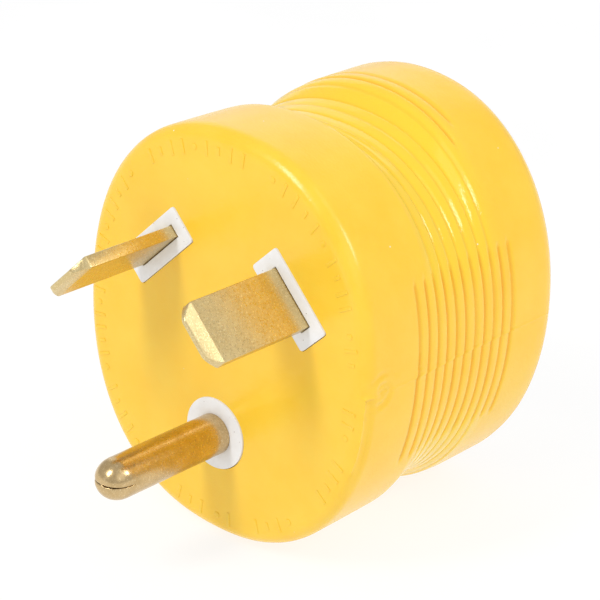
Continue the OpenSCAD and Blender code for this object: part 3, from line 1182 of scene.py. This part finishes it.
@dataclass
class GroundPin(Piece):
    """The round pin, folded from sheet, with a slit and a crease in its dome."""

    name = "ground_prong"
    slot = Slot.BRASS
    nodes = ("ground_pin",)

    radius: float = 3.175
    reach: float = 23.5
    drop: float = 15.3
    dome: float = 3.4
    tip_flat: float = 0.35
    shoulder: float = -0.25
    stud: float = 2.8
    root: float = 10.2
    sides: int = 144
    slit_end: float = -19.7
    slit_depth: float = 0.4
    slit_width: float = 0.05
    crease_depth: float = 0.16
    # How much painted shade the crease gets, against the slit's full share.
    crease_shade: float = 0.6
    lip_depth: float = 0.14
    crease_lip: float = 0.1

    def stations(self) -> np.ndarray:
        """Rings from the apex to the stud's end.

        Returns:
            Rows of place along Y, radius, and how far the surface leans from the axis.
        """
        rows = [(-self.reach, 0.02, 0)]
        for a in np.radians(np.linspace(0, 90, 25)):
            rows.append((self.dome * (1 - math.cos(a)) - self.reach,
                         self.tip_flat + (self.radius - self.tip_flat) * math.sin(a), a))
        start, side = self.dome - self.reach, math.pi / 2
        rows += [(start + (self.shoulder - start) * i / 40, self.radius, side) for i in range(1, 40)]
        rows += [(self.shoulder - 0.12, self.radius, side),
                 (self.shoulder - 0.03, self.radius - 0.03, side),
                 (self.shoulder, self.radius - 0.12, side), (self.shoulder, self.stud, side),
                 (self.root, self.stud, side), (self.root, 0.02, side)]
        return np.array(rows)

    def build(self) -> bpy.types.Object:
        """Shapes a tube to the pin's profile and closes its ends.

        Returns:
            The pin.
        """
        stations = self.stations()
        pin, turn, ring = sleeve(self.sides, len(stations))
        turn = gather(turn, 0.8)
        y, radius, lean = stations[ring].T
        front = 1 - step_up(y, self.slit_end - 0.8, self.slit_end)
        apex = 1 - step_up(y, -self.reach, -self.reach + 1.6)
        arc = np.abs(turn) * np.maximum(radius, 0.3)
        far = (math.pi - np.abs(turn)) * np.maximum(radius, 0.3)
        slit = front * hump(arc, self.slit_width + 0.04 * apex)
        crease = front * hump(far, 0.1)
        lips = self.lip_depth * front * hump(arc, 0.4) + self.crease_lip * front * hump(far, 0.35)
        cut = self.slit_depth * slit + self.crease_depth * crease + lips
        radius = np.maximum(radius - cut * np.sin(lean), 0.01)
        y = y + cut * np.cos(lean)
        set_points(pin, np.column_stack([radius * np.cos(turn), y, radius * np.sin(turn) - self.drop]))
        # Painted shade: the slit is darkened fully and the crease in part.
        write_mark(pin, SLIT_SHADE, slit + self.crease_shade * crease)
        with editing(pin, "EDGE"):
            pick(pin, "edges", lambda e: len(e.link_faces) < 2)
            bpy.ops.mesh.edge_face_add()
        tidy_shell(pin, 0.0005)
        smooth(pin, 40)
        return pin


# --------------------------------------------------------------------- inside


@dataclass
class InnerParts:
    """The CAD solids inside the body, which keep their shape and get finishes."""

    finishes: dict = field(default_factory=dict)

    def slot_of(self, node: str) -> Slot:
        """The material slot that a node's name stands for."""
        if node.endswith("link"):
            return Slot.COPPER
        if node.endswith("contact"):
            return Slot.BRONZE
        if node.endswith(("rivet", "screws")):
            return Slot.STEEL
        return Slot.INSULATOR

    def dress(self) -> list[bpy.types.Object]:
        """Gives each shown CAD node its finish.

        Returns:
            The dressed nodes.
        """
        dressed = []
        for name, node in sorted(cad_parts.items()):
            if node.hide_render:
                continue
            slot = self.slot_of(name)
            node.data.materials.clear()
            node.data.materials.append(self.finishes[slot])
            dressed.append(node)
        return dressed


# --------------------------------------------------------------------- studio


@dataclass
class Studio:
    """A plain pale floor, soft lights and the camera."""

    floor_z: float = -32.7
    floor_size: float = 6000.0
    azimuth: float = 40.199
    elevation: float = 24.308
    roll: float = 3.342
    distance: float = 320.726
    aside: float = 11.7275
    above: float = 4.8297
    lift: float = 1.1
    lens: float = 132.0
    glow: float = 0.80
    air: float = 0.66

    def axes(self) -> tuple[Vector, Vector, Vector]:
        """The camera's right, up and back directions."""
        a, e, r = (math.radians(v) for v in (self.azimuth, self.elevation, self.roll))
        back = Vector((math.sin(a) * math.cos(e), -math.cos(a) * math.cos(e), math.sin(e)))
        level = Vector((math.cos(a), math.sin(a), 0))
        upright = back.cross(level)
        right = level * math.cos(r) + upright * math.sin(r)
        up = upright * math.cos(r) - level * math.sin(r)
        return right, up, back

    def camera(self) -> None:
        """Sets up the camera."""
        right, up, back = self.axes()
        place = back * self.distance + right * self.aside + up * self.above
        place.z += self.lift
        data = bpy.data.cameras.new("view")
        data.lens, data.sensor_width = self.lens, 36.0
        data.clip_start, data.clip_end = 0.01, 20.0
        camera = bpy.data.objects.new("view", data)
        bpy.context.scene.collection.objects.link(camera)
        turn = Matrix((right, up, back)).transposed()
        camera.matrix_world = Matrix.Translation(place * MM) @ turn.to_4x4()
        bpy.context.scene.camera = camera

    def softbox(self, name: str, toward: Sequence[float], distance: float, size: tuple,
                brightness: float) -> None:
        """Hangs a soft light that faces the object.

        Args:
            name: the light's name.
            toward: the direction from the object to the light.
            distance: how far away it is, in millimetres.
            size: its width and height in millimetres.
            brightness: how bright its surface is, where a lit white wall is 1.
        """
        data = bpy.data.lights.new(name, "AREA")
        data.shape = "RECTANGLE"
        data.size, data.size_y = size[0] * MM, size[1] * MM
        data.energy = brightness * math.pi * data.size * data.size_y
        light = bpy.data.objects.new(name, data)
        bpy.context.scene.collection.objects.link(light)
        direction = Vector(toward).normalized()
        facing = direction.to_track_quat("Z", "Y").to_matrix().to_4x4()
        light.matrix_world = Matrix.Translation(direction * distance * MM) @ facing
        light.visible_camera = False

    def surroundings(self) -> None:
        """Sets the pale floor and the even light all round."""
        bpy.ops.mesh.primitive_plane_add(size=self.floor_size * MM, location=(0, 0, self.floor_z * MM))
        floor = bpy.context.object
        floor.name = "floor"
        settle(floor)
        r = Recipe("pale_floor")
        shade = r.reach(r.noise(60.0, 2.0), 0.3, 0.7)
        r.set(Base_Color=r.blend(shade, (0.20, 0.20, 0.20, 1), (0.24, 0.24, 0.24, 1)), Roughness=0.9)
        r.set(Emission_Color=(1, 1, 1, 1), Emission_Strength=self.glow, Specular_IOR_Level=0.1)
        floor.data.materials.append(r.material)
        world = bpy.data.worlds.new("studio_air")
        world.use_nodes = True
        air = world.node_tree.nodes["Background"]
        air.inputs["Color"].default_value = (1, 1, 1, 1)
        air.inputs["Strength"].default_value = self.air
        bpy.context.scene.world = world
        bpy.context.scene.view_settings.view_transform = "Standard"

    def build(self) -> None:
        """Sets up the floor, the lights and the camera."""
        self.surroundings()
        self.softbox("key", (-0.12, -0.71, 0.69), 450, (80, 200), 14.5)
        self.softbox("side", (0.74, 0.30, 0.60), 450, (90, 120), 9.0)
        self.softbox("right_fill", (0.80, -0.30, 0.52), 450, (300, 300), 0.45)
        self.softbox("back_wall", (-0.58, 0.70, 0.42), 600, (620, 420), 0.45)
        self.softbox("top_fill", (0.50, 0.13, 0.86), 500, (240, 240), 0.8)
        self.camera()


def main() -> None:
    """Builds and dresses every piece."""
    logging.basicConfig(level=logging.INFO, format="%(name)s %(message)s")
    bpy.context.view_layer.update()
    put_down_all()
    vinyl = MouldedVinyl().make("moulded_vinyl")
    white = WhiteInsulator().make("white_insulator_skin")
    brass = BRASS.make("prong_brass_skin")
    body = Jacket()
    core = PlugCore()
    report(body.dress(vinyl))
    report(RimMarks(body).dress(vinyl))
    report(core.dress(white))
    report(ReceptacleFace().dress(white))
    for side in Side:
        report(Blade(side, core).dress(brass))
    report(GroundPin().dress(PIN_BRASS.make("pin_brass_skin")))
    inner = InnerParts({
        Slot.INSULATOR: white,
        Slot.COPPER: COPPER.make("strap_copper_skin"),
        Slot.BRONZE: BRONZE.make("contact_bronze_skin"),
        Slot.STEEL: STEEL.make("plated_steel_skin"),
    })
    for node in inner.dress():
        report(node)
    Studio().build()


if __name__ == "__main__":
    main()
